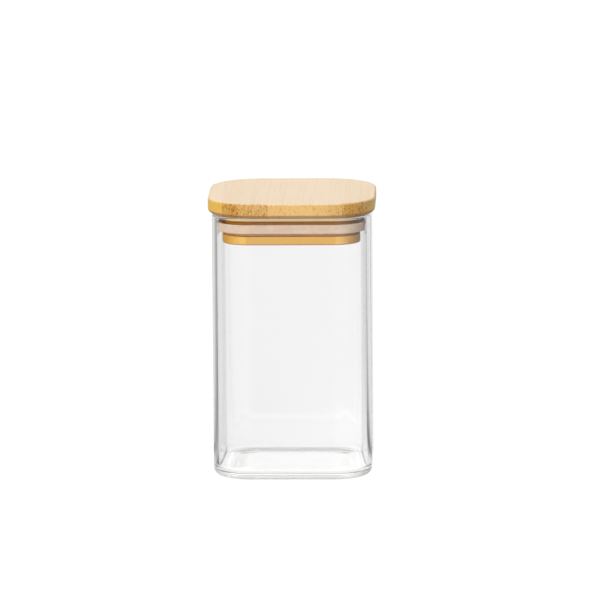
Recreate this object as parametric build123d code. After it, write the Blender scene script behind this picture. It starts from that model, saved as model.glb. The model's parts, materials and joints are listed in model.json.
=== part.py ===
"""Square glass spice jar with a laminated bamboo lid and a silicone seal.

Lengths are in millimetres. +Z is up and -Y is the front. The origin is on the surface that the
jar stands on, under its middle. The lid is closed: its board rests over the glass rim, its plug
hangs in the mouth, and the seal's two lips fill the gap between the plug and the glass.
"""
import os

from build123d import *

# Glass jar
jar_width = 65.0            # across the flat sides
jar_height = 108.6          # from the table to the top of the rim
jar_corner = 15.5           # outer radius of the upright corners, in plan
wall = 1.9                  # glass thickness of the sides
floor_thickness = 2.1       # glass thickness in the middle of the base
punt_depth = 0.5            # how far the middle of the base is raised off the table
punt_round_share = 0.8      # rounding of the raised middle's edge, as a share of its depth
foot_width = 3.0            # width of the flat ring that the jar stands on
base_round = 3.2            # outside, where the sides turn into the foot
floor_round = 2.4           # inside, where the sides turn into the floor
rim_land = 0.1              # flat that is left on top of the rounded rim

# Lid board
seat_gap = 0.1              # between the rim and the underside of the board
board_overhang = 1.75       # how far the board stands out past the jar's sides
board_corner = 21.0         # radius of the board's corners, in plan
board_thickness = 6.3
board_top_round = 1.0
board_bottom_round = 1.8

# Lid plug, glued under the board
plug_gap = 2.4              # between the plug's flange and the inside of the glass
plug_depth = 11.6           # from the board's underside to the bottom of the flange
plug_round = 0.5            # rounding of the flange's bottom edge
neck_height = 8.1           # from the board's underside down to the flange
neck_depth = 2.0            # how far the neck stands back from the flange's side

# Bamboo laminate: both blocks are glued up from upright staves
stave_width = 6.2           # aimed at; a block has the nearest whole number of equal staves

# Silicone seal round the neck: a sleeve with a thin lip above and a broad one below
seal_fit = 0.1              # between the sleeve and the board, the neck and the flange
lip_gap = 0.1               # between both lips and the glass, before they are squeezed
sleeve_width = 0.9          # between the two lips
thin_drop = 0.6             # from the board's underside to the top of the thin lip's edge
thin_edge = 0.8             # height of that edge
thin_root = 0.2             # how far the thin lip's lower side slopes down to the sleeve
broad_drop = 2.9            # from the board's underside to the top of the broad lip
broad_height = 3.7          # of its outer face, which presses on the glass
broad_lean = 0.6            # how far the lower end of that face stands back from the top
broad_thickness = 0.8       # across the top of the broad lip
valley_depth = 2.9          # from the top of the broad lip down to the valley behind it
valley_rise = 1.1           # from the valley up to where the sleeve starts
skirt_lift = 0.9            # from the flange up to where the broad lip leaves the foot
skirt_width = 1.3           # of the foot, where the broad lip leaves it
foot_seal_width = 1.0       # of the foot, on the flange
seal_round = 0.2            # rounding of the seal's edges

# Cuts run past the solid that they cut by this much
overrun = 2.0

# Places that follow from the sizes
bore_width = jar_width - 2 * wall
bore_corner = jar_corner - wall
floor_z = punt_depth + floor_thickness
board_width = jar_width + 2 * board_overhang
board_z = jar_height + seat_gap
plug_width = bore_width - 2 * plug_gap
plug_corner = bore_corner - plug_gap
plug_z = board_z - plug_depth
flange_z = board_z - neck_height
neck_width = plug_width - 2 * neck_depth
neck_corner = plug_corner - neck_depth


def square_block(width, corner, low, high):
    """An upright block with a square plan and round corners, from height low to height high."""
    return Pos(0, 0, low) * extrude(RectangleRounded(width, width, corner), high - low)


def low_edges(block):
    """The edges round the lowest face."""
    return block.faces().sort_by(Axis.Z)[0].edges()


def high_edges(block):
    """The edges round the highest face."""
    return block.faces().sort_by(Axis.Z)[-1].edges()


def staves(block, width, angle):
    """The block as upright staves that lie side by side, face to face.

    At angle 0 the staves run from front to back, and at 90 from side to side.
    """
    count = max(1, round(width / stave_width))
    pitch = width / count
    box = block.bounding_box()
    height = box.size.Z + 2 * overrun
    cutter = Box(pitch, width + 2 * overrun, height)
    pieces = []
    for index in range(count):
        across = (2 * index + 1 - count) * pitch / 2
        slot = Rot(0, 0, angle) * Pos(across, 0, box.center().Z) * cutter
        pieces.extend((block & slot).solids())
    return Compound(children=pieces)


def glass_jar():
    """One glass vessel: even walls, a rounded rim, and a base raised off the table in its middle."""
    outside = square_block(jar_width, jar_corner, 0, jar_height)
    outside = fillet(low_edges(outside), base_round)
    bore = square_block(bore_width, bore_corner, floor_z, jar_height + overrun)
    bore = fillet(low_edges(bore), floor_round)
    inset = base_round + foot_width
    punt = square_block(jar_width - 2 * inset, jar_corner - inset, -overrun, punt_depth)
    punt = fillet(high_edges(punt), punt_depth * punt_round_share)
    jar = outside - bore - punt
    return fillet(high_edges(jar), (wall - rim_land) / 2)


def lid_board():
    """The board on top: staves run from front to back, so its front edge shows end grain."""
    board = square_block(board_width, board_corner, board_z, board_z + board_thickness)
    board = fillet(high_edges(board), board_top_round)
    board = fillet(low_edges(board), board_bottom_round)
    return staves(board, board_width, 0)


def lid_plug():
    """The block under the board, a flange on a neck: its staves run across the board's grain."""
    plug = square_block(plug_width, plug_corner, plug_z, flange_z)
    plug = fillet(low_edges(plug), plug_round)
    plug += square_block(neck_width, neck_corner, flange_z, board_z)
    return staves(plug, plug_width, 90)


def seal_section():
    """The seal's section: a sleeve on the neck, and two lips that stand out to the glass.

    X is measured outwards from the side of the plug's flange, and Z is height.
    """
    back = seal_fit - neck_depth
    front = back + sleeve_width
    tip = plug_gap - lip_gap
    top_z = board_z - seal_fit
    foot_z = flange_z + seal_fit
    thin_z = board_z - thin_drop
    broad_z = board_z - broad_drop
    valley_z = broad_z - valley_depth
    corners = [
        (back, top_z),
        (back, foot_z),
        (back + foot_seal_width, foot_z),
        (back + skirt_width, flange_z + skirt_lift),
        (tip - broad_lean, broad_z - broad_height),
        (tip, broad_z),
        (tip - broad_thickness, broad_z),
        (0, valley_z),
        (front, valley_z + valley_rise),
        (front, thin_z - thin_edge - thin_root),
        (tip, thin_z - thin_edge),
        (tip, thin_z),
        (front, top_z),
    ]
    section = make_face(Polyline(*corners, close=True))
    return fillet(section.vertices(), seal_round)


def seal_ring():
    """The seal: its section runs along the plug's straight sides and turns round its corners."""
    straight = plug_width - 2 * plug_corner
    section = Plane.XZ * seal_section()
    side = Pos(plug_width / 2, straight / 2, 0) * extrude(section, straight)
    corner = revolve(Pos(plug_corner, 0, 0) * section, Axis.Z, 90)
    quarter = side + Pos(straight / 2, straight / 2, 0) * corner
    ring = quarter
    for angle in (90, 180, 270):
        ring += Rot(0, 0, angle) * quarter
    return ring


os.makedirs("parts", exist_ok=True)
export_step(glass_jar(), "parts/glass_jar.step")
export_step(lid_board(), "parts/lid_board.step")
export_step(lid_plug(), "parts/lid_plug.step")
export_step(seal_ring(), "parts/seal_ring.step")
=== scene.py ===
# %% [markdown]
# # A square spice jar in glass and bamboo
#
# The object is a small food jar with four pieces: a square glass vessel, and a lid made of a bamboo
# board, a bamboo plug with a neck glued under it, and a soft silicone seal round that neck.
#
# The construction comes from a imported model, the frame, which fixes every size and place. What is
# made here is the look: finer meshes for the same four pieces, and a material for each.
#
# %% Load the frame
import json
import math

import bmesh
import bpy
from mathutils import Matrix, Vector


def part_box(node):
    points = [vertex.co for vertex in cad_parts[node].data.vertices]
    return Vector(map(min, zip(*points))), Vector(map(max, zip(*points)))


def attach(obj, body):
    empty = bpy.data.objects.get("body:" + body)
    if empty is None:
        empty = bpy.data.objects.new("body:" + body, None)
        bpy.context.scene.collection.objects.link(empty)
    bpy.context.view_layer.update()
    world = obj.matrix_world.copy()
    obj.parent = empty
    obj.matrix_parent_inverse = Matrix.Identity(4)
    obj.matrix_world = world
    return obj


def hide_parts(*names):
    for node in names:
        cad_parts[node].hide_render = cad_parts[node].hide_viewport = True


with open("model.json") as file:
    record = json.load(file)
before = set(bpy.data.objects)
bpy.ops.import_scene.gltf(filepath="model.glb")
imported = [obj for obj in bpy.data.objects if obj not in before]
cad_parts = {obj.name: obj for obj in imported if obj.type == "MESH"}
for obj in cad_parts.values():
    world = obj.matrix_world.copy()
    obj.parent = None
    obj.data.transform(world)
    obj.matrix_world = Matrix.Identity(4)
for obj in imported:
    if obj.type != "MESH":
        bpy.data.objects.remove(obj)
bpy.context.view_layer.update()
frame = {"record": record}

# %% [markdown]
# ## Sizes
#
# Each piece stays where the frame has it, so widths and heights are read from the frame's boxes. The
# frame's boxes can't tell how round a corner is or how thick the glass is, so those sizes are named
# here, in metres. They are the same as in the construction, apart from the raised middle of the base.
# There it is a short step. Here it slopes down to the foot over `PUNT_SLOPE`, because a step draws hard
# lines through the glass that real jars don't have.
#
# %% Read the sizes
_, jar_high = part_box("glass_jar")
board_low, board_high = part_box("lid_board")
plug_low, plug_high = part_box("lid_plug")
seal_low, seal_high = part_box("seal_ring")

JAR_CORNER = 0.0155
WALL = 0.0019
FLOOR_TOP = 0.0026
PUNT_RISE = 0.0005
PUNT_SLOPE = 0.0075
PUNT_INNER_ROUND = 0.040
PUNT_OUTER_ROUND = 0.020
FOOT_WIDTH = 0.003
BASE_ROUND = 0.0032
FLOOR_ROUND = 0.0024
RIM_ROUND = 0.00093

BOARD_CORNER = 0.021
BOARD_TOP_ROUND = 0.001
BOARD_BOTTOM_ROUND = 0.0018

PLUG_CORNER = 0.0112
PLUG_ROUND = 0.0005
NECK_HEIGHT = 0.0081
NECK_DEPTH = 0.002

SEAL_FIT = 0.0001
SLEEVE_WIDTH = 0.0009
THIN_DROP = 0.0006
THIN_EDGE = 0.0008
THIN_ROOT = 0.0002
BROAD_DROP = 0.0029
BROAD_HEIGHT = 0.0037
BROAD_LEAN = 0.0006
BROAD_THICKNESS = 0.0008
VALLEY_DEPTH = 0.0029
VALLEY_RISE = 0.0011
SKIRT_LIFT = 0.0009
SKIRT_WIDTH = 0.0013
FOOT_SEAL_WIDTH = 0.001
SEAL_ROUND = 0.0002

print("jar", [round(x * 1000, 2) for x in jar_high], "board", [round(x * 1000, 2) for x in board_high])

# %% [markdown]
# ## A square lathe
#
# A round jar would be made on a lathe: draw half of its section and spin it. All four pieces here are
# the same idea with a square plan. A section is pushed round a square with rounded corners, and the
# corners stay concentric, so that a wall keeps its thickness all the way round.
#
# The rule for one level of the piece is short. A rounded square is a smaller, sharp square plus a
# circle: each point is `square * (reach - radius) + round * radius`. Here `square` runs round the
# corners of a unit square, `round` is the direction that the side faces, `reach` is how far the side
# is from the axis, and `radius` is the corner's radius at that level. Geometry Nodes suit such a rule,
# because it is the same at every point.
#
# %% Helpers that build node trees
def put(tree, kind, inputs=None, **settings):
    """Adds a node. A value in inputs is either a socket to link from or a plain value."""
    node = tree.nodes.new(kind)
    for name, value in settings.items():
        setattr(node, name, value)
    for name, value in (inputs or {}).items():
        if isinstance(value, bpy.types.NodeSocket):
            tree.links.new(value, node.inputs[name])
        else:
            node.inputs[name].default_value = value
    return node


def calc(tree, operation, *values, clamp=False):
    """A Math node on sockets or numbers; gives its result's socket."""
    node = put(tree, "ShaderNodeMath", dict(enumerate(values)), operation=operation, use_clamp=clamp)
    return node.outputs[0]


def along(tree, operation, *values):
    """A Vector Math node on sockets or vectors; gives its vector socket."""
    return put(tree, "ShaderNodeVectorMath", dict(enumerate(values)), operation=operation).outputs[0]


def stretch(tree, vector, share):
    """A vector made longer or shorter by a number or a socket."""
    node = put(tree, "ShaderNodeVectorMath", {"Vector": vector, "Scale": share}, operation="SCALE")
    return node.outputs[0]


def from_core(tree, spot, side):
    """How far a spot is from an upright square core that reaches out to side in X and Y."""
    core = along(tree, "MAXIMUM", along(tree, "MINIMUM", spot, (side, side, 1)), (-side, -side, -1))
    away = along(tree, "SUBTRACT", spot, core)
    return put(tree, "ShaderNodeVectorMath", {0: away}, operation="LENGTH").outputs["Value"]


def ramp(tree, value, low, high, to_low=0.0, to_high=1.0, smooth=True):
    """Maps a value from low..high to to_low..to_high, with soft ends."""
    inputs = {"Value": value, "From Min": low, "From Max": high, "To Min": to_low, "To Max": to_high}
    kind = "SMOOTHSTEP" if smooth else "LINEAR"
    return put(tree, "ShaderNodeMapRange", inputs, interpolation_type=kind).outputs[0]


def grey(level):
    """A colour with no hue."""
    return (level, level, level, 1)


def named(tree, name, kind):
    """Reads a named attribute."""
    return put(tree, "GeometryNodeInputNamedAttribute", {"Name": name}, data_type=kind).outputs[0]


def store(tree, geometry, name, kind, value):
    """Writes a named attribute on points; gives the geometry's socket."""
    inputs = {"Geometry": geometry, "Name": name, "Value": value}
    return put(tree, "GeometryNodeStoreNamedAttribute", inputs, data_type=kind, domain="POINT").outputs[0]


print("helpers ready")

# %% [markdown]
# The tree takes the section as a line and sweeps it round a plan, a rounded square. The section's
# points carry their reach and height, and the plan's points carry their corner and the way they face.
# After the sweep each point knows all four, and is put where the rule says. A slow noise then sways
# the skin, where a piece asks for it. Last, the points that meet on the axis are merged.
#
# %% The square lathe's tree
LATHE_INPUTS = (
    ("Section", "NodeSocketGeometry", None),
    ("Half Width", "NodeSocketFloat", 0.03),
    ("Corner Radius", "NodeSocketFloat", 0.01),
    ("Centre Share", "NodeSocketFloat", 0.35),
    ("Steps Around", "NodeSocketInt", 240),
    ("Wave Height", "NodeSocketFloat", 0.0),
    ("Wave Length", "NodeSocketFloat", 0.03),
    ("Calm Above", "NodeSocketFloat", 0.1),
    ("Seed", "NodeSocketInt", 1),
    ("Material", "NodeSocketMaterial", None),
)


def build_lathe():
    """The Geometry Nodes tree that turns a section into a square piece."""
    tree = bpy.data.node_groups.new("Square lathe", "GeometryNodeTree")
    for name, kind, value in LATHE_INPUTS:
        socket = tree.interface.new_socket(name, in_out="INPUT", socket_type=kind)
        if value is not None:
            socket.default_value = value
    tree.interface.new_socket("Piece", in_out="OUTPUT", socket_type="NodeSocketGeometry")
    given = put(tree, "NodeGroupInput").outputs

    section = put(tree, "GeometryNodeMeshToCurve", {"Mesh": given["Section"]}).outputs[0]
    place = put(tree, "ShaderNodeSeparateXYZ", {0: put(tree, "GeometryNodeInputPosition").outputs[0]})
    section = store(tree, section, "reach", "FLOAT", place.outputs["X"])
    section = store(tree, section, "height", "FLOAT", place.outputs["Z"])

    plan = put(tree, "GeometryNodeCurvePrimitiveQuadrilateral", {"Width": 4.0, "Height": 4.0}).outputs[0]
    turns = {"Curve": plan, "Count": 24, "Radius": 1.0}
    plan = put(tree, "GeometryNodeFilletCurve", turns, mode="POLY").outputs[0]
    plan = put(tree, "GeometryNodeResampleCurve", {"Curve": plan, "Count": given["Steps Around"]}).outputs[0]
    spot = put(tree, "GeometryNodeInputPosition").outputs[0]
    square = along(tree, "MAXIMUM", along(tree, "MINIMUM", spot, (1, 1, 0)), (-1, -1, 0))
    facing = along(tree, "NORMALIZE", along(tree, "SUBTRACT", spot, square))
    plan = store(tree, plan, "square", "FLOAT_VECTOR", square)
    plan = store(tree, plan, "round", "FLOAT_VECTOR", facing)

    skin = put(tree, "GeometryNodeCurveToMesh", {"Curve": plan, "Profile Curve": section}).outputs[0]
    reach = named(tree, "reach", "FLOAT")
    inset = calc(tree, "SUBTRACT", given["Half Width"], reach)
    radius = calc(tree, "SUBTRACT", given["Corner Radius"], inset)
    radius = calc(tree, "MAXIMUM", radius, calc(tree, "MULTIPLY", reach, given["Centre Share"]))
    core = stretch(tree, named(tree, "square", "FLOAT_VECTOR"), calc(tree, "SUBTRACT", reach, radius))
    turn = stretch(tree, named(tree, "round", "FLOAT_VECTOR"), radius)
    level = put(tree, "ShaderNodeCombineXYZ", {"Z": named(tree, "height", "FLOAT")}).outputs[0]
    where = along(tree, "ADD", along(tree, "ADD", core, turn), level)
    skin = put(tree, "GeometryNodeSetPosition", {"Geometry": skin, "Position": where}).outputs[0]

    drift = put(tree, "ShaderNodeCombineXYZ", {"X": given["Seed"]}).outputs[0]
    here = along(tree, "ADD", put(tree, "GeometryNodeInputPosition").outputs[0], drift)
    scale = calc(tree, "DIVIDE", 1.0, given["Wave Length"])
    noise = put(tree, "ShaderNodeTexNoise", {"Vector": here, "Scale": scale, "Detail": 1.0}).outputs["Color"]
    calm_from = calc(tree, "SUBTRACT", given["Calm Above"], given["Wave Length"])
    lively = ramp(tree, named(tree, "height", "FLOAT"), calm_from, given["Calm Above"], 1.0, 0.0)
    swing = calc(tree, "MULTIPLY", lively, given["Wave Height"])
    sway = stretch(tree, along(tree, "SUBTRACT", noise, (0.5, 0.5, 0.5)), swing)
    skin = put(tree, "GeometryNodeSetPosition", {"Geometry": skin, "Offset": sway}).outputs[0]

    skin = put(tree, "GeometryNodeMergeByDistance", {"Geometry": skin, "Distance": 1e-6}).outputs[0]
    skin = put(tree, "GeometryNodeSetShadeSmooth", {"Geometry": skin}).outputs[0]
    skin = put(tree, "GeometryNodeRealizeInstances", {"Geometry": skin}).outputs[0]
    skin = put(tree, "GeometryNodeSetMaterial", {"Geometry": skin, "Material": given["Material"]}).outputs[0]
    put(tree, "NodeGroupOutput", {"Piece": skin})
    return tree


LATHE = build_lathe()
print("square lathe:", len(LATHE.nodes), "nodes")

# %% [markdown]
# ## Sections
#
# A section is a short list of corners, each with the radius that rounds it, as a maker would dimension
# a drawing. The helper below turns each corner into an arc. It also adds a point just before and after
# every arc. Smooth shading blends the normals of neighbouring faces, and without those points the
# blend would run right across the flat top of the lid and make it look swollen.
#
# %% From corners to points
HOLD = 0.00025


def arc_points(before, corner, after, radius, steps):
    """The points of the arc that rounds a corner, as (x, z, rounding), where rounding peaks mid-arc."""
    back = (before - corner).normalized()
    ahead = (after - corner).normalized()
    half = back.angle(ahead) / 2
    middle = corner + (back + ahead).normalized() * radius / math.sin(half)
    start = corner + back * radius / math.tan(half) - middle
    end = corner + ahead * radius / math.tan(half) - middle
    sweep = math.pi - 2 * half
    points = []
    for step in range(steps + 1):
        share = step / steps
        mix_start = math.sin((1 - share) * sweep) / math.sin(sweep)
        mix_end = math.sin(share * sweep) / math.sin(sweep)
        x, z = middle + start * mix_start + end * mix_end
        points.append((x, z, math.sin(math.pi * share)))
    return points


def trace(corners, closed, steps, stride):
    """The section's points: arcs at the corners, and straight stretches split at most a stride apart."""
    flat = [Vector(corner[:2]) for corner in corners]
    rounded = []
    for index, (x, z, radius) in enumerate(corners):
        at_end = not closed and index in (0, len(corners) - 1)
        if radius == 0 or at_end:
            rounded.append((x, z, 0.0))
        else:
            rounded += arc_points(flat[index - 1], flat[index], flat[(index + 1) % len(flat)], radius, steps)
    points = []
    pairs = zip(rounded, rounded[1:] + rounded[:1]) if closed else zip(rounded, rounded[1:])
    for here, there in pairs:
        points.append(here)
        gap = math.dist(here[:2], there[:2])
        if gap < 4 * HOLD:
            continue
        inner = max(1, round((gap - 2 * HOLD) / stride))
        shares = [HOLD / gap + i * (1 - 2 * HOLD / gap) / inner for i in range(inner + 1)]
        for share in shares:
            x = here[0] + share * (there[0] - here[0])
            z = here[1] + share * (there[1] - here[1])
            points.append((x, z, 0.0))
    if not closed:
        points.append(rounded[-1])
    return points


print("section helpers ready")

# %% [markdown]
# ## From a section to a piece
#
# The section becomes a line of mesh edges, and the lathe is a modifier on it. Its inputs are set by
# their sockets' identifiers, because a modifier doesn't know their names. The evaluated result is kept
# as a plain mesh and the modifier goes. The normals are worked out again, so that all of them point
# outwards, and open edges are counted. The piece rides on the body that its node belongs to, and it
# stands for that node.
#
# %% Make a piece
def make_piece(name, node, corners, corner_radius, material, closed=False, steps=8,
               stride=0.004, around=240, wave_height=0.0, wave_length=0.03, calm_above=0.1, seed=1):
    """Turns a section on the square lathe and puts the result in place of a node of the frame."""
    points = trace(corners, closed, steps, stride)
    count = len(points)
    edges = [(i, (i + 1) % count) for i in range(count if closed else count - 1)]
    mesh = bpy.data.meshes.new(name + "_section")
    mesh.from_pydata([(x, 0, z) for x, z, rounding in points], edges, [])
    rounding = mesh.attributes.new("rounding", "FLOAT", "POINT")
    rounding.data.foreach_set("value", [point[2] for point in points])
    piece = bpy.data.objects.new(name, mesh)
    bpy.context.scene.collection.objects.link(piece)

    values = {
        "Half Width": max(x for x, z, rounding in points),
        "Corner Radius": corner_radius,
        "Steps Around": around,
        "Wave Height": wave_height,
        "Wave Length": wave_length,
        "Calm Above": calm_above,
        "Seed": seed,
        "Material": material,
    }
    lathe = piece.modifiers.new("Square lathe", "NODES")
    lathe.node_group = LATHE
    for item in LATHE.interface.items_tree:
        if item.name in values:
            lathe[item.identifier] = values[item.name]
    evaluated = piece.evaluated_get(bpy.context.evaluated_depsgraph_get())
    turned = bpy.data.meshes.new_from_object(evaluated)
    piece.modifiers.clear()
    piece.data = turned
    turned.name = name

    shell = bmesh.new()
    shell.from_mesh(turned)
    bmesh.ops.recalc_face_normals(shell, faces=shell.faces)
    shell.to_mesh(turned)
    open_edges = sum(not edge.is_manifold for edge in shell.edges)
    volume = shell.calc_volume(signed=True)
    shell.free()
    for extra in ("reach", "height", "square", "round"):
        if extra in turned.attributes:
            turned.attributes.remove(turned.attributes[extra])

    body = next(b for b, members in frame["record"]["behaviour"]["bodies"].items() if node in members)
    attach(piece, body)
    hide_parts(node)
    size = [round(x * 1000, 2) for x in piece.dimensions]
    print(name, len(turned.polygons), "faces,", size, "mm, open edges", open_edges,
          "volume", round(volume * 1e6, 2), "cm3, rides on", body)


print("piece maker ready")

# %% [markdown]
# ## Finishes
#
# Bamboo laminate is glued up from narrow staves. Each stave has its own tone. Its fibres run along it
# as fine streaks, and where a stave is cut across, the same fibres show as small specks. A flat
# pattern laid on each face would break at the edges. One pattern that is long in one direction and
# fine in the two others gives both: on a long face the cut shows streaks, and on an end face it shows
# specks. So the grain is a solid pattern in the wood, and the shape of the piece decides what shows.
#
# The pattern is three noises and one cell pattern, each stretched by how many of its features fit in a
# metre: across the stave, along it, and up it. Vessels are the tubes of the living plant, and their
# cells are long and thin, so that a cut across them shows dots.
#
# The board and the plug share the grain, so it is a node group. It puts out only what varies over the
# surface: a colour, a roughness and a height for the bump. The colour is laid on in layers, each with
# its own mask: the long grain, the sides and the cut ends, the warm staves, a painted shade on the
# rounded lower edge, the specks, the dark staves and last the joints. Each stave's tone and warmth come
# in from outside. A high tone is a darker stave with more specks, and warmth makes a stave yellower.
#
# %% The bamboo group
def open_group(name, inputs, outputs):
    """A shader node group with its sockets; gives the tree and the sockets of its inputs."""
    tree = bpy.data.node_groups.new(name, "ShaderNodeTree")
    for label, kind, value in inputs:
        socket = tree.interface.new_socket(label, in_out="INPUT", socket_type=kind)
        if value is not None:
            socket.default_value = value
    for label, kind in outputs:
        tree.interface.new_socket(label, in_out="OUTPUT", socket_type=kind)
    return tree, put(tree, "NodeGroupInput").outputs


def blend(tree, share, first, second, mode="MIX"):
    """A colour mix of two sockets or colours."""
    node = put(tree, "ShaderNodeMix", data_type="RGBA", blend_type=mode)
    for socket, value in ((node.inputs[0], share), (node.inputs[6], first), (node.inputs[7], second)):
        if isinstance(value, bpy.types.NodeSocket):
            tree.links.new(value, socket)
        else:
            socket.default_value = value
    return node.outputs[2]


FIBRES_PER_METRE = (1500.0, 26.0, 420.0)
HAIRS_PER_METRE = (4200.0, 60.0, 2600.0)
VESSELS_PER_METRE = (1400.0, 9.0, 980.0)
CLOUDS_PER_METRE = (60.0, 22.0, 60.0)
JOINT_FULL = 0.004
JOINT_GONE = 0.02


def build_bamboo():
    """The grain of bamboo laminate. A joint's reach is a share of the stave's width."""
    tree, given = open_group("Bamboo grain", (
        ("Grain Place", "NodeSocketVector", None),
        ("Grain Facing", "NodeSocketVector", None),
        ("Stave Width", "NodeSocketFloat", 0.0062),
        ("Half Width", "NodeSocketFloat", 0.034),
        ("Pale", "NodeSocketColor", (0.8, 0.6, 0.4, 1)),
        ("Deep", "NodeSocketColor", (0.6, 0.4, 0.2, 1)),
        ("Side", "NodeSocketColor", (0.8, 0.5, 0.1, 1)),
        ("End Grain", "NodeSocketColor", (0.6, 0.4, 0.2, 1)),
        ("Speck", "NodeSocketColor", (0.3, 0.15, 0.05, 1)),
        ("Warm", "NodeSocketColor", (1.0, 0.8, 0.5, 1)),
        ("Painted Under Shade", "NodeSocketColor", (0.7, 0.6, 0.6, 1)),
        ("Stave Tone", "NodeSocketFloat", 0.5),
        ("Stave Warmth", "NodeSocketFloat", 0.0),
        ("Seam Strength", "NodeSocketFloat", 0.3),
        ("Seed", "NodeSocketFloat", 1.0),
    ), (("Color", "NodeSocketColor"), ("Roughness", "NodeSocketFloat"), ("Height", "NodeSocketFloat")))
    place = put(tree, "ShaderNodeSeparateXYZ", {0: given["Grain Place"]}).outputs
    facing = put(tree, "ShaderNodeSeparateXYZ", {0: given["Grain Facing"]}).outputs

    from_side = calc(tree, "ADD", place["X"], given["Half Width"])
    from_side = calc(tree, "DIVIDE", from_side, given["Stave Width"])
    stave = calc(tree, "FLOOR", from_side)
    within = calc(tree, "SUBTRACT", from_side, stave)
    tag = calc(tree, "ADD", stave, given["Seed"])
    own = put(tree, "ShaderNodeTexWhiteNoise", {"W": tag}, noise_dimensions="1D").outputs
    to_joint = calc(tree, "SUBTRACT", 0.5, calc(tree, "ABSOLUTE", calc(tree, "SUBTRACT", within, 0.5)))
    joint = ramp(tree, to_joint, JOINT_FULL, JOINT_GONE, 1.0, 0.0)

    shifted = along(tree, "ADD", given["Grain Place"], stretch(tree, own["Color"], 0.7))
    fibre_place = along(tree, "MULTIPLY", shifted, FIBRES_PER_METRE)
    fibre = put(tree, "ShaderNodeTexNoise", {"Vector": fibre_place, "Scale": 1.0, "Detail": 5.0,
                                             "Roughness": 0.62}).outputs["Fac"]
    hair_place = along(tree, "MULTIPLY", shifted, HAIRS_PER_METRE)
    hair = put(tree, "ShaderNodeTexNoise", {"Vector": hair_place, "Scale": 1.0, "Detail": 2.0}).outputs["Fac"]
    vessel_place = along(tree, "MULTIPLY", shifted, VESSELS_PER_METRE)
    vessel = put(tree, "ShaderNodeTexVoronoi", {"Vector": vessel_place, "Scale": 1.0}).outputs["Distance"]
    vessel = ramp(tree, vessel, 0.20, 0.55, 1.0, 0.0)
    cloud_place = along(tree, "MULTIPLY", given["Grain Place"], CLOUDS_PER_METRE)
    cloud = put(tree, "ShaderNodeTexNoise", {"Vector": cloud_place, "Scale": 1.0, "Detail": 2.0})
    cloud = cloud.outputs["Fac"]

    end = ramp(tree, calc(tree, "ABSOLUTE", facing["Y"]), 0.25, 0.85)
    side = ramp(tree, calc(tree, "ABSOLUTE", facing["Z"]), 0.35, 0.75, 1.0, 0.0)
    tone = given["Stave Tone"]
    lean = calc(tree, "SUBTRACT", fibre, 0.5)
    depth = calc(tree, "ADD", calc(tree, "MULTIPLY", tone, 0.3), calc(tree, "MULTIPLY", lean, 0.7))
    depth = calc(tree, "ADD", depth, calc(tree, "MULTIPLY", cloud, 0.4), clamp=True)
    color = blend(tree, depth, given["Pale"], given["Deep"])
    mottle = calc(tree, "ADD", 0.9, calc(tree, "MULTIPLY", lean, 0.6), clamp=True)
    flank = blend(tree, end, given["Side"], given["End Grain"])
    color = blend(tree, calc(tree, "MULTIPLY", side, mottle), color, flank)
    warm = calc(tree, "MULTIPLY", side, given["Stave Warmth"])
    color = blend(tree, warm, color, given["Warm"], "MULTIPLY")
    # Painted shade: faces that turn partly downwards, along the rounded lower edge, are darkened. The flat
    # underside is left out.
    under = calc(tree, "MULTIPLY", ramp(tree, facing["Z"], -0.35, -0.08, 1.0, 0.0),
                 ramp(tree, facing["Z"], -0.98, -0.85))
    color = blend(tree, under, color, given["Painted Under Shade"], "MULTIPLY")
    busy = calc(tree, "MULTIPLY", end, calc(tree, "ADD", 0.06, tone))
    crowd = calc(tree, "MULTIPLY", vessel, ramp(tree, fibre, 0.38, 0.62, 0.2, 1.5))
    specks = calc(tree, "MULTIPLY", crowd, calc(tree, "ADD", 0.05, busy), clamp=True)
    color = blend(tree, specks, color, given["Speck"])
    shaded = calc(tree, "MULTIPLY", end, calc(tree, "MULTIPLY", tone, 0.45))
    color = blend(tree, shaded, color, given["Speck"])
    color = blend(tree, calc(tree, "MULTIPLY", joint, given["Seam Strength"]), color, given["Speck"])
    rough = calc(tree, "ADD", 0.42, calc(tree, "MULTIPLY", fibre, 0.22))
    raised = calc(tree, "ADD", fibre, calc(tree, "MULTIPLY", hair, 0.4))
    sunk = calc(tree, "ADD", calc(tree, "MULTIPLY", vessel, 0.5), calc(tree, "MULTIPLY", joint, 0.8))
    height = calc(tree, "SUBTRACT", raised, sunk)
    put(tree, "NodeGroupOutput", {"Color": color, "Roughness": rough, "Height": height})
    return tree


BAMBOO = build_bamboo()
print("bamboo group:", len(BAMBOO.nodes), "nodes")

# %% [markdown]
# ## Handled edges
#
# Rounded edges are what hands touch. On the bamboo they are a little darker and smoother than the
# flats, and on the silicone a little paler. A shader could search for edges round each point, but the
# section already knows them. The lathe carries a value named `rounding` from the section to the mesh,
# which is 1 in the middle of each rounded edge and 0 on the flats. This group breaks it up with a soft
# noise, so that the edge doesn't look painted.
#
# %% The handled edge group
def build_edges():
    """A mask of the rounded edges, broken up by patches."""
    tree, given = open_group("Handled edges", (
        ("Place", "NodeSocketVector", None),
        ("Rounding", "NodeSocketFloat", 0.0),
        ("Patch Size", "NodeSocketFloat", 0.006),
        ("Strength", "NodeSocketFloat", 0.5),
    ), (("Mask", "NodeSocketFloat"),))
    scale = calc(tree, "DIVIDE", 1.0, given["Patch Size"])
    noise = put(tree, "ShaderNodeTexNoise", {"Vector": given["Place"], "Scale": scale, "Detail": 3.0})
    patch = ramp(tree, noise.outputs["Fac"], 0.3, 0.7, 0.35, 1.0)
    mask = calc(tree, "MULTIPLY", given["Rounding"], patch)
    mask = calc(tree, "MULTIPLY", mask, given["Strength"], clamp=True)
    put(tree, "NodeGroupOutput", {"Mask": mask})
    return tree


EDGES = build_edges()
print("edge group:", len(EDGES.nodes), "nodes")
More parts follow.
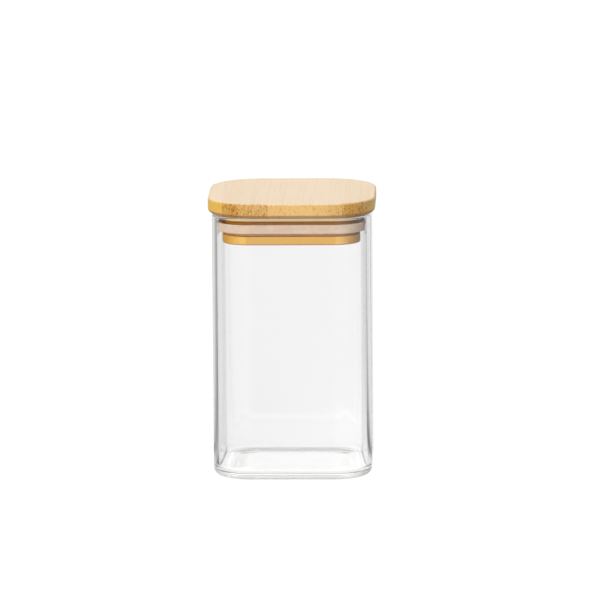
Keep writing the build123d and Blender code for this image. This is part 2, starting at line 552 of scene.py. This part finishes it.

# %% [markdown]
# ## Two blocks of bamboo
#
# The board and the plug are glued together with their grain crossed, so both materials place the same
# group, and the plug's is turned by a quarter turn. The staves' tones and warmths go in through a
# colour ramp that has one flat step for each stave. Random tones would do for most boards. Here they
# are short lists, given from left to right, so that the dark staves stand near both ends of the board's
# front edge, as in the photograph. The two dark staves at the right end are partly painted shade as
# well, where the light falls off to the right. The board's broad faces are paler than its sides, and on
# the top part of that paleness is painted sheen, the white room mirrored at a grazing angle.
#
# %% The bamboo materials
def open_material(name):
    """An empty material; gives it with its tree, its shader and its output."""
    material = bpy.data.materials.new(name)
    material.use_nodes = True
    tree = material.node_tree
    tree.nodes.clear()
    shader = put(tree, "ShaderNodeBsdfPrincipled")
    surface = put(tree, "ShaderNodeOutputMaterial", {"Surface": shader.outputs[0]})
    return material, tree, shader, surface


def stave_tones(tree, across, half, tones, warmths):
    """Each stave's own tone and warmth: a ramp with one flat step for each stave."""
    share = ramp(tree, across, -half, half, smooth=False)
    steps = put(tree, "ShaderNodeValToRGB", {"Fac": share})
    steps.color_ramp.interpolation = "CONSTANT"
    stops = steps.color_ramp.elements
    stops.remove(stops[1])
    for index, (tone, warmth) in enumerate(zip(tones, warmths)):
        stop = stops[0] if index == 0 else stops.new(index / len(tones))
        stop.color = (tone, warmth, 0, 1)
    parts = put(tree, "ShaderNodeSeparateColor", {"Color": steps.outputs["Color"]}).outputs
    return parts["Red"], parts["Green"]


def bamboo(name, turn, half, tones, warmths, pale, deep, side, end_grain, seam, seed):
    """Bamboo laminate whose staves run along Y, or along X when turned by a quarter turn."""
    material, tree, shader, _ = open_material(name)
    coordinates = put(tree, "ShaderNodeTexCoord").outputs
    angle = (0, 0, turn)
    place = put(tree, "ShaderNodeMapping", {"Vector": coordinates["Object"], "Rotation": angle})
    facing = put(tree, "ShaderNodeMapping", {"Vector": coordinates["Normal"], "Rotation": angle})
    across = put(tree, "ShaderNodeSeparateXYZ", {0: place.outputs[0]}).outputs["X"]
    tone, warmth = stave_tones(tree, across, half, tones, warmths)
    grain = put(tree, "ShaderNodeGroup", node_tree=BAMBOO)
    values = {"Grain Place": place.outputs[0], "Grain Facing": facing.outputs[0], "Pale": pale,
              "Deep": deep, "Side": side, "End Grain": end_grain, "Speck": SPECK, "Half Width": half,
              "Stave Width": 2 * half / len(tones), "Stave Tone": tone, "Stave Warmth": warmth,
              "Warm": WARM, "Painted Under Shade": PAINTED_UNDER_SHADE, "Seam Strength": seam, "Seed": seed}
    for label, value in values.items():
        if isinstance(value, bpy.types.NodeSocket):
            tree.links.new(value, grain.inputs[label])
        else:
            grain.inputs[label].default_value = value
    edge = put(tree, "ShaderNodeGroup", node_tree=EDGES)
    rounding = put(tree, "ShaderNodeAttribute", attribute_name="rounding")
    tree.links.new(coordinates["Object"], edge.inputs["Place"])
    tree.links.new(rounding.outputs["Fac"], edge.inputs["Rounding"])
    edge.inputs["Strength"].default_value = 0.25
    worn = edge.outputs["Mask"]
    color = blend(tree, worn, grain.outputs["Color"], end_grain, "MULTIPLY")
    rough = calc(tree, "SUBTRACT", grain.outputs["Roughness"], calc(tree, "MULTIPLY", worn, 0.15))
    bump = put(tree, "ShaderNodeBump", {"Height": grain.outputs["Height"], "Strength": 0.25,
                                        "Distance": 0.00008})
    tree.links.new(color, shader.inputs["Base Color"])
    tree.links.new(rough, shader.inputs["Roughness"])
    tree.links.new(bump.outputs[0], shader.inputs["Normal"])
    return material


# Stave tones from left to right. The last two are partly painted shade, where the light falls off.
BOARD_TONES_AND_SHADE = (0.1, 1.0, 0.65, 0.55, 0.15, 0.1, 0.1, 0.2, 0.35, 0.9, 1.0)
BOARD_WARMTHS = (1.0, 0.7, 0.25, 0.05, 0.0, 0.0, 0.0, 0.05, 0.15, 0.6, 0.4)
PLUG_TONES = (0.2, 0.35, 0.3, 0.45, 0.25, 0.4, 0.3, 0.2, 0.35)
PLUG_WARMTHS = (0.0, 0.2, 0.0, 0.3, 0.1, 0.0, 0.3, 0.0, 0.1)
SPECK = (0.36, 0.13, 0.01, 1)
WARM = (0.98, 0.88, 0.42, 1)
# Painted shade for the rounded lower edge of the board and the plug.
PAINTED_UNDER_SHADE = (0.60, 0.53, 0.60, 1)
# The board's pale broad faces are partly painted sheen of the white room on its top.
BOARD_BAMBOO = bamboo("Board bamboo", turn=0.0, half=board_high.x, tones=BOARD_TONES_AND_SHADE,
                      warmths=BOARD_WARMTHS, pale=(0.88, 0.72, 0.53, 1), deep=(0.82, 0.62, 0.40, 1),
                      side=(0.85, 0.59, 0.19, 1), end_grain=(0.845, 0.525, 0.175, 1),
                      seam=0.13, seed=11.0)
PLUG_BAMBOO = bamboo("Plug bamboo", turn=math.pi / 2, half=plug_high.x, tones=PLUG_TONES,
                     warmths=PLUG_WARMTHS, pale=(0.87, 0.53, 0.15, 1), deep=(0.75, 0.38, 0.075, 1),
                     side=(0.87, 0.53, 0.15, 1), end_grain=(0.76, 0.41, 0.08, 1),
                     seam=0.20, seed=29.0)
print("bamboo materials:", BOARD_BAMBOO.name, PLUG_BAMBOO.name)

# %% [markdown]
# ## Clear glass
#
# Clear glass has almost no colour of its own. What shows is what it bends and mirrors, so the material
# is plain: full transmission, a refractive index of 1.5 and no roughness. A path tracer finds a lamp
# through such glass only by chance, as glaring spots. So the lamps further down are hidden from
# mirrored and bent rays, and for shadow rays alone the glass is a clear film that lets their light
# straight through. The film's colour is a gain. It is above 1 because the plug and
# the seal behind the glass are as bright in the photograph as the board outside it.
#
# Light that enters a wall of glass at its edge runs on inside it, as in a light guide. It can bounce
# fifty times before it leaves at the foot. Paths that are cut short leave black marks under the lid,
# so the scene allows 200 bounces. Few paths need them, and the picture takes no longer.
#
# %% The glass material
GLASS_TINT = grey(0.975)
FILM_GAIN = 1.24
BOUNCES = 200


def clear_glass():
    """Glass for the eye, and a clear film for light on its way to what stands behind it."""
    material, tree, shader, surface = open_material("Clear glass")
    shader.inputs["Base Color"].default_value = GLASS_TINT
    shader.inputs["Roughness"].default_value = 0.0
    shader.inputs["IOR"].default_value = 1.5
    shader.inputs["Transmission Weight"].default_value = 1.0
    film = put(tree, "ShaderNodeBsdfTransparent", {"Color": grey(FILM_GAIN)})
    rays = put(tree, "ShaderNodeLightPath").outputs
    through = put(tree, "ShaderNodeMixShader", {0: rays["Is Shadow Ray"], 1: shader.outputs[0],
                                                2: film.outputs[0]})
    tree.links.new(through.outputs[0], surface.inputs["Surface"])
    return material


GLASS = clear_glass()
bpy.context.scene.cycles.max_bounces = BOUNCES
bpy.context.scene.cycles.glossy_bounces = BOUNCES
bpy.context.scene.cycles.transmission_bounces = BOUNCES
print("glass:", GLASS.name, "bounces:", BOUNCES)

# %% [markdown]
# ## Milky silicone
#
# Silicone is milky. Light goes in and comes out again softened. A fog inside the mesh would be truest,
# but slow, so it gets some subsurface scattering and some rough transmission, and a fine mottling. Red
# light goes a little further in it than blue, and the thin lip's warm, pale tint is a painted glow of
# that light. Where the seal is a thin sleeve, the bamboo behind it shows through, so its colour there is
# brown, kept dark as painted shade. The tints of the lip and the sleeve follow the height and the reach.
#
# %% The silicone material
MILK_DEEP = (0.84, 0.63, 0.48, 1)
MILK_PALE = (0.91, 0.70, 0.54, 1)
EDGE_PALE = (0.95, 0.70, 0.49, 1)
THIN_LIP_PAINTED_GLOW = (1.0, 0.68, 0.34, 1)
SLEEVE_BROWN_AND_SHADE = (0.46, 0.175, 0.015, 1)
MOTTLES_PER_METRE = 420.0
DUST_PER_METRE = 3200.0
LIP_FROM = 0.0020
LIP_FULL = 0.0016
SLEEVE_FADE = 0.0007


def milky_silicone():
    """The seal's material; the lip's heights are measured down from the board."""
    material, tree, shader, _ = open_material("Milky silicone")
    place = put(tree, "ShaderNodeTexCoord").outputs["Object"]
    mottle = put(tree, "ShaderNodeTexNoise", {"Vector": place, "Scale": MOTTLES_PER_METRE, "Detail": 3.0})
    dust = put(tree, "ShaderNodeTexNoise", {"Vector": place, "Scale": DUST_PER_METRE, "Detail": 2.0})
    dust = dust.outputs["Fac"]
    milk = ramp(tree, mottle.outputs["Fac"], 0.3, 0.7)
    color = blend(tree, milk, MILK_DEEP, MILK_PALE)
    edge = put(tree, "ShaderNodeGroup", node_tree=EDGES)
    rounding = put(tree, "ShaderNodeAttribute", attribute_name="rounding")
    tree.links.new(place, edge.inputs["Place"])
    tree.links.new(rounding.outputs["Fac"], edge.inputs["Rounding"])
    edge.inputs["Patch Size"].default_value = 0.002
    color = blend(tree, edge.outputs["Mask"], color, EDGE_PALE)
    level = put(tree, "ShaderNodeSeparateXYZ", {0: place}).outputs["Z"]
    # Painted glow: the thin lip by the board is tinted warm and pale for light that comes through it.
    thin = ramp(tree, level, plug_high.z - LIP_FROM, plug_high.z - LIP_FULL)
    color = blend(tree, thin, color, THIN_LIP_PAINTED_GLOW)
    reach = from_core(tree, place, plug_high.x - PLUG_CORNER)
    sleeve_reach = PLUG_CORNER - NECK_DEPTH + SEAL_FIT + SLEEVE_WIDTH
    sleeve = ramp(tree, reach, sleeve_reach, sleeve_reach + SLEEVE_FADE, 1.0, 0.0)
    # Painted shade: the sleeve's brown is bamboo seen through thin silicone, darkened as if in shade.
    color = blend(tree, sleeve, color, SLEEVE_BROWN_AND_SHADE)
    rough = calc(tree, "ADD", 0.34, calc(tree, "MULTIPLY", dust, 0.16))
    bump = put(tree, "ShaderNodeBump", {"Height": dust, "Strength": 0.2, "Distance": 0.00003})
    tree.links.new(color, shader.inputs["Base Color"])
    tree.links.new(rough, shader.inputs["Roughness"])
    tree.links.new(bump.outputs[0], shader.inputs["Normal"])
    shader.inputs["IOR"].default_value = 1.41
    shader.inputs["Transmission Weight"].default_value = 0.12
    shader.inputs["Subsurface Weight"].default_value = 0.6
    shader.inputs["Subsurface Radius"].default_value = (1.0, 0.8, 0.6)
    shader.inputs["Subsurface Scale"].default_value = 0.002
    return material


SILICONE = milky_silicone()
print("silicone:", SILICONE.name)

# %% [markdown]
# ## The glass vessel
#
# The real jar is pressed and fire-polished: an even wall, a fully rounded rim, a rounded foot, and a
# middle of the base that rises gently off the table, so that the jar stands on a flat ring. It could
# be a bevelled box with a smaller one cut out of it. A section suits glass better, because it gives
# the inside and the outside one smooth skin. It starts on the axis under the base, goes out, up the
# outside, over the rim, down the inside and back to the axis on the floor. Such glass is never quite
# true, so a slow noise sways it by a few hundredths of a millimetre. The sway calms down towards the
# rim, where the lid has to fit.
#
# %% Make the glass vessel
jar_half = jar_high.x
punt_half = jar_half - BASE_ROUND - FOOT_WIDTH
bore_half = jar_half - WALL
glass_corners = [
    (0.0, PUNT_RISE, 0),
    (punt_half - PUNT_SLOPE, PUNT_RISE, PUNT_INNER_ROUND),
    (punt_half + PUNT_RISE, 0.0, PUNT_OUTER_ROUND),
    (jar_half, 0.0, BASE_ROUND),
    (jar_half, jar_high.z, RIM_ROUND),
    (bore_half, jar_high.z, RIM_ROUND),
    (bore_half, FLOOR_TOP, FLOOR_ROUND),
    (0.0, FLOOR_TOP, 0),
]
make_piece("jar_glass", "glass_jar", glass_corners, JAR_CORNER, GLASS,
           steps=12, stride=0.002, around=320, wave_height=0.0001, wave_length=0.04,
           calm_above=plug_low.z, seed=4)

# %% [markdown]
# ## The lid's board
#
# The board is a flat block with large round corners in plan. Its top edge is barely eased and its
# bottom edge has a fuller round, as the photograph shows. A box with bevelled edges would look much
# the same. On the lathe, the edges also carry the `rounding` that their wear needs.
#
# %% Make the board
board_half = board_high.x
board_corners = [
    (0.0, board_low.z, 0),
    (board_half, board_low.z, BOARD_BOTTOM_ROUND),
    (board_half, board_high.z, BOARD_TOP_ROUND),
    (0.0, board_high.z, 0),
]
make_piece("lid_board_bamboo", "lid_board", board_corners, BOARD_CORNER,
           BOARD_BAMBOO, stride=0.006)

# %% [markdown]
# ## The lid's plug
#
# The plug hangs in the mouth, 2.4 mm clear of the glass. It is a flange on a narrower neck, and the
# seal sits round the neck, between the board and the flange. Two boxes, one on the other, would hide
# faces inside the wood. One section makes both as a single closed skin.
#
# %% Make the plug
plug_half = plug_high.x
flange_z = plug_high.z - NECK_HEIGHT
neck_half = plug_half - NECK_DEPTH
CUT_EDGE = 0.00012
plug_corners = [
    (0.0, plug_low.z, 0),
    (plug_half, plug_low.z, PLUG_ROUND),
    (plug_half, flange_z, CUT_EDGE),
    (neck_half, flange_z, CUT_EDGE),
    (neck_half, plug_high.z, 0),
    (0.0, plug_high.z, 0),
]
make_piece("lid_plug_bamboo", "lid_plug", plug_corners, PLUG_CORNER,
           PLUG_BAMBOO, steps=5, stride=0.006)

# %% [markdown]
# ## The seal
#
# The seal is a sleeve round the neck with two lips. The thin one above touches the glass at the rim.
# The broad one below stands out and up, with a valley behind it that lets it bend as the lid goes in.
# Both are drawn relaxed, just clear of the glass. The sleeve is so thin that the bamboo shows through
# it, and its brown is darkened as painted shade: a brown band between the lips, and a dark line over
# the flange in the shadow under the broad lip. The lips could be rings laid round a tube. As one closed
# section they are one skin with it, as they come out of a mould, and every edge is rounded alike.
#
# %% Make the seal
sleeve_back = neck_half + SEAL_FIT
sleeve_front = sleeve_back + SLEEVE_WIDTH
tip_half = seal_high.x
thin_z = plug_high.z - THIN_DROP
broad_z = plug_high.z - BROAD_DROP
valley_z = broad_z - VALLEY_DEPTH
seal_section = (
    (sleeve_back, seal_high.z),
    (sleeve_back, seal_low.z),
    (sleeve_back + FOOT_SEAL_WIDTH, seal_low.z),
    (sleeve_back + SKIRT_WIDTH, flange_z + SKIRT_LIFT),
    (tip_half - BROAD_LEAN, broad_z - BROAD_HEIGHT),
    (tip_half, broad_z),
    (tip_half - BROAD_THICKNESS, broad_z),
    (plug_half, valley_z),
    (sleeve_front, valley_z + VALLEY_RISE),
    (sleeve_front, thin_z - THIN_EDGE - THIN_ROOT),
    (tip_half, thin_z - THIN_EDGE),
    (tip_half, thin_z),
    (sleeve_front, seal_high.z),
)
seal_corners = [(x, z, SEAL_ROUND) for x, z in seal_section]
seal_corner = PLUG_CORNER + tip_half - plug_half
make_piece("lid_seal_silicone", "seal_ring", seal_corners, seal_corner,
           SILICONE, closed=True, steps=5, stride=0.001)

# %% [markdown]
# ## Floor and room
#
# The photograph has a pure white ground with no horizon. The floor and the room are white only where
# the camera looks at them, straight or through the glass, and `ray_kinds` below tells those rays from
# the rest. Matt surfaces are lit by a plain grey room and by two lamps.
#
# Glass shows its shape by what it mirrors, and for mirrored rays the room is a map: a strip of light
# and dark all the way round, as in a small studio with pale walls and dark gaps. Real panels round the
# jar would do the same, but a map is quicker to render and to change. A stop of the map is an angle, 0
# behind the object and positive to the right, and a brightness there. The stops were set one by one until
# the edges of the glass had the grey lines of the photograph. The floor follows the same map far from
# the jar, and is evenly pale right round its foot.
#
# %% The room's map
ROOM_STOPS = (
    (-180, 0.38), (-165, 0.20), (-140, 0.10), (-112, 0.03), (-94, 0.12), (-75, 0.50), (-65, 0.40),
    (-55, 0.25), (-45, 0.40), (-37, 0.55), (-31, 0.80), (-23, 1.10), (-13, 1.40), (0, 1.10), (13, 1.40),
    (21, 1.20), (30, 1.00), (40, 0.90), (49, 0.45), (63, 0.10), (74, 0.60), (84, 1.00), (103, 0.80),
    (115, 0.85), (140, 0.95), (160, 0.80), (172, 0.48), (180, 0.40),
)
ROOM_PEAK = 1.5
CEILING = 1.0


def build_room_map():
    """The brightness of the room in a direction. Straight up, it is the ceiling's."""
    tree, given = open_group("Room map", (("Direction", "NodeSocketVector", None),),
                             (("Level", "NodeSocketFloat"),))
    way = put(tree, "ShaderNodeVectorMath", {0: given["Direction"]}, operation="NORMALIZE").outputs[0]
    part = put(tree, "ShaderNodeSeparateXYZ", {0: way}).outputs
    turn = calc(tree, "ARCTAN2", part["X"], part["Y"])
    share = ramp(tree, turn, -math.pi, math.pi, smooth=False)
    strip = put(tree, "ShaderNodeValToRGB", {"Fac": share})
    strip.color_ramp.interpolation = "EASE"
    stops = strip.color_ramp.elements
    stops[1].position = 1.0
    for angle, level in ROOM_STOPS[1:-1]:
        stops.new(angle / 360 + 0.5).color = grey(level / ROOM_PEAK)
    for end in (0, -1):
        stops[end].color = grey(ROOM_STOPS[end][1] / ROOM_PEAK)
    around = calc(tree, "MULTIPLY", strip.outputs["Color"], ROOM_PEAK)
    above = ramp(tree, part["Z"], 0.3, 0.7)
    level = put(tree, "ShaderNodeMix", {0: above, 2: around, 3: CEILING}, data_type="FLOAT").outputs[0]
    put(tree, "NodeGroupOutput", {"Level": level})
    return tree


ROOM_MAP = build_room_map()
print("room map:", len(ROOM_MAP.nodes), "nodes")

# %% [markdown]
# The floor has three looks, picked by the kind of ray that reaches it. What the camera sees is nearly
# white and takes the jar's faint shadow. What the glass mirrors is the room's map, and a pale ring
# round the foot. For all other rays the floor is pale and matt, and throws light back up. The room
# does the same with white, the map and a plain grey.
#
# %% The floor and the room
AMBIENT = 0.24
FOOT_GLOW = grey(0.90)
GLOW_FROM = 0.003
GLOW_TO = 0.02
FLOOR_PEAK = 0.8
FLOOR_PALE = grey(0.6)
FLOOR_FAINT = grey(0.2)
FLOOR_GLOW = grey(0.845)


def ray_kinds(tree):
    """Two masks: what the camera sees straight or through clear glass, and what is mirrored."""
    rays = put(tree, "ShaderNodeLightPath").outputs
    through = rays["Is Transmission Ray"]
    looked = calc(tree, "MAXIMUM", rays["Is Camera Ray"], through)
    unlit = calc(tree, "LESS_THAN", rays["Diffuse Depth"], 0.5)
    straight = calc(tree, "LESS_THAN", rays["Glossy Depth"], 0.5)
    seen = calc(tree, "MULTIPLY", looked, calc(tree, "MULTIPLY", unlit, straight))
    mirrored = calc(tree, "MULTIPLY", unlit, calc(tree, "MAXIMUM", rays["Is Glossy Ray"], through))
    return seen, mirrored


def room_level(tree, direction):
    """The room map's brightness in a direction."""
    room = put(tree, "ShaderNodeGroup", node_tree=ROOM_MAP)
    tree.links.new(direction, room.inputs["Direction"])
    return room.outputs["Level"]


def white_floor():
    """The floor's material; it isn't a lamp, so no light is sampled from it."""
    material = bpy.data.materials.new("White floor")
    material.use_nodes = True
    material.cycles.emission_sampling = "NONE"
    tree = material.node_tree
    tree.nodes.clear()
    seen, mirrored = ray_kinds(tree)
    spot = put(tree, "ShaderNodeTexCoord").outputs["Object"]
    distance = from_core(tree, spot, jar_half - JAR_CORNER)
    far = ramp(tree, distance, JAR_CORNER + GLOW_FROM, JAR_CORNER + GLOW_TO)
    level = blend(tree, far, FOOT_GLOW, calc(tree, "MINIMUM", room_level(tree, spot), FLOOR_PEAK))
    pale = put(tree, "ShaderNodeBsdfDiffuse", {"Color": FLOOR_PALE})
    room_like = put(tree, "ShaderNodeEmission", {"Color": level})
    lit = put(tree, "ShaderNodeMixShader", {0: mirrored, 1: pale.outputs[0], 2: room_like.outputs[0]})
    faint = put(tree, "ShaderNodeBsdfDiffuse", {"Color": FLOOR_FAINT})
    glow = put(tree, "ShaderNodeEmission", {"Color": FLOOR_GLOW})
    white = put(tree, "ShaderNodeAddShader", {0: faint.outputs[0], 1: glow.outputs[0]})
    mixed = put(tree, "ShaderNodeMixShader", {0: seen, 1: lit.outputs[0], 2: white.outputs[0]})
    put(tree, "ShaderNodeOutputMaterial", {"Surface": mixed.outputs[0]})
    return material


FLOOR_HALF = 12.0
FLOOR_DROP = 0.0002
floor_mesh = bpy.data.meshes.new("floor")
floor_mesh.from_pydata([(x * FLOOR_HALF, y * FLOOR_HALF, -FLOOR_DROP)
                        for x, y in ((-1, -1), (1, -1), (1, 1), (-1, 1))], [], [(0, 1, 2, 3)])
floor_mesh.materials.append(white_floor())
floor_piece = bpy.data.objects.new("floor", floor_mesh)
bpy.context.scene.collection.objects.link(floor_piece)

world = bpy.data.worlds.new("Studio")
bpy.context.scene.world = world
world.use_nodes = True
room = world.node_tree
room.nodes.clear()
seen, mirrored = ray_kinds(room)
direction = put(room, "ShaderNodeTexCoord").outputs["Generated"]
soft = put(room, "ShaderNodeBackground", {"Color": grey(AMBIENT)})
map_like = put(room, "ShaderNodeBackground", {"Color": room_level(room, direction)})
white = put(room, "ShaderNodeBackground", {"Color": grey(1.0)})
plain = put(room, "ShaderNodeMixShader", {0: mirrored, 1: soft.outputs[0], 2: map_like.outputs[0]})
sky = put(room, "ShaderNodeMixShader", {0: seen, 1: plain.outputs[0], 2: white.outputs[0]})
put(room, "ShaderNodeOutputWorld", {"Surface": sky.outputs[0]})
print("floor and room ready")

# %% [markdown]
# ## Two lamps
#
# The key lamp stands to the left in front, as the brighter left end of the seal shows, and low, so that
# its light reaches the seal under the board. The second lamp hangs overhead and lights the board's
# top. Both are far lamps with a wide spread, which give the even light and soft shadows of big panels
# and take up no room. Neither shows in mirrored or bent rays, because the glass would turn them into
# glaring patches that the photograph doesn't have.
#
# %% The lamps
def soft_sun(name, azimuth, elevation, strength, spread):
    """A far lamp; azimuth 0 is in front of the object, and positive to the right."""
    lamp = bpy.data.lights.new(name, "SUN")
    lamp.energy = strength
    lamp.angle = math.radians(spread)
    lamp_object = bpy.data.objects.new(name, lamp)
    a, e = math.radians(azimuth), math.radians(elevation)
    away = Vector((math.sin(a) * math.cos(e), -math.cos(a) * math.cos(e), math.sin(e)))
    lamp_object.rotation_euler = away.to_track_quat("Z", "Y").to_euler()
    lamp_object.visible_glossy = False
    lamp_object.visible_transmission = False
    bpy.context.scene.collection.objects.link(lamp_object)


soft_sun("key", azimuth=-26, elevation=12, strength=1.9, spread=26)
soft_sun("overhead", azimuth=0, elevation=85, strength=1.85, spread=60)

# %% [markdown]
# ## The camera
#
# The photograph was taken from far off with a long lens, about ten degrees above the table and almost
# square to the front. A camera could be placed by trial and error. Here one point of the object is
# tied to one pixel of the photograph, and the scale there sets the focal length, so that both stay
# right when the distance changes.
#
# %% Set the camera
PHOTO_SIDE = 600
ANCHOR = Vector((0.0, 0.0, 0.0598))
ANCHOR_PIXEL = (293.3, 323.2)
PIXELS_PER_METRE = 2427.0
DISTANCE = 3.0
CAMERA_AZIMUTH = math.radians(1.6)
CAMERA_ELEVATION = math.radians(9.9)
CAMERA_ROLL = math.radians(-0.42)
SENSOR = 36.0

back_way = Vector((math.sin(CAMERA_AZIMUTH) * math.cos(CAMERA_ELEVATION),
                   -math.cos(CAMERA_AZIMUTH) * math.cos(CAMERA_ELEVATION),
                   math.sin(CAMERA_ELEVATION)))
facing = (-back_way).to_track_quat("-Z", "Y") @ Matrix.Rotation(CAMERA_ROLL, 3, "Z").to_quaternion()
right_way, up_way = facing @ Vector((1, 0, 0)), facing @ Vector((0, 1, 0))
aside = (PHOTO_SIDE / 2 - ANCHOR_PIXEL[0]) / PIXELS_PER_METRE
upward = (ANCHOR_PIXEL[1] - PHOTO_SIDE / 2) / PIXELS_PER_METRE
lens = bpy.data.cameras.new("camera")
lens.sensor_width = SENSOR
lens.lens = PIXELS_PER_METRE * DISTANCE * SENSOR / PHOTO_SIDE
lens.clip_end = 100.0
camera = bpy.data.objects.new("camera", lens)
camera.rotation_mode = "QUATERNION"
camera.rotation_quaternion = facing
camera.location = ANCHOR + right_way * aside + up_way * upward + back_way * DISTANCE
bpy.context.scene.collection.objects.link(camera)
bpy.context.scene.camera = camera
bpy.context.scene.view_settings.view_transform = "Standard"
print("camera", [round(x, 3) for x in camera.location], "lens", round(lens.lens, 1), "mm")
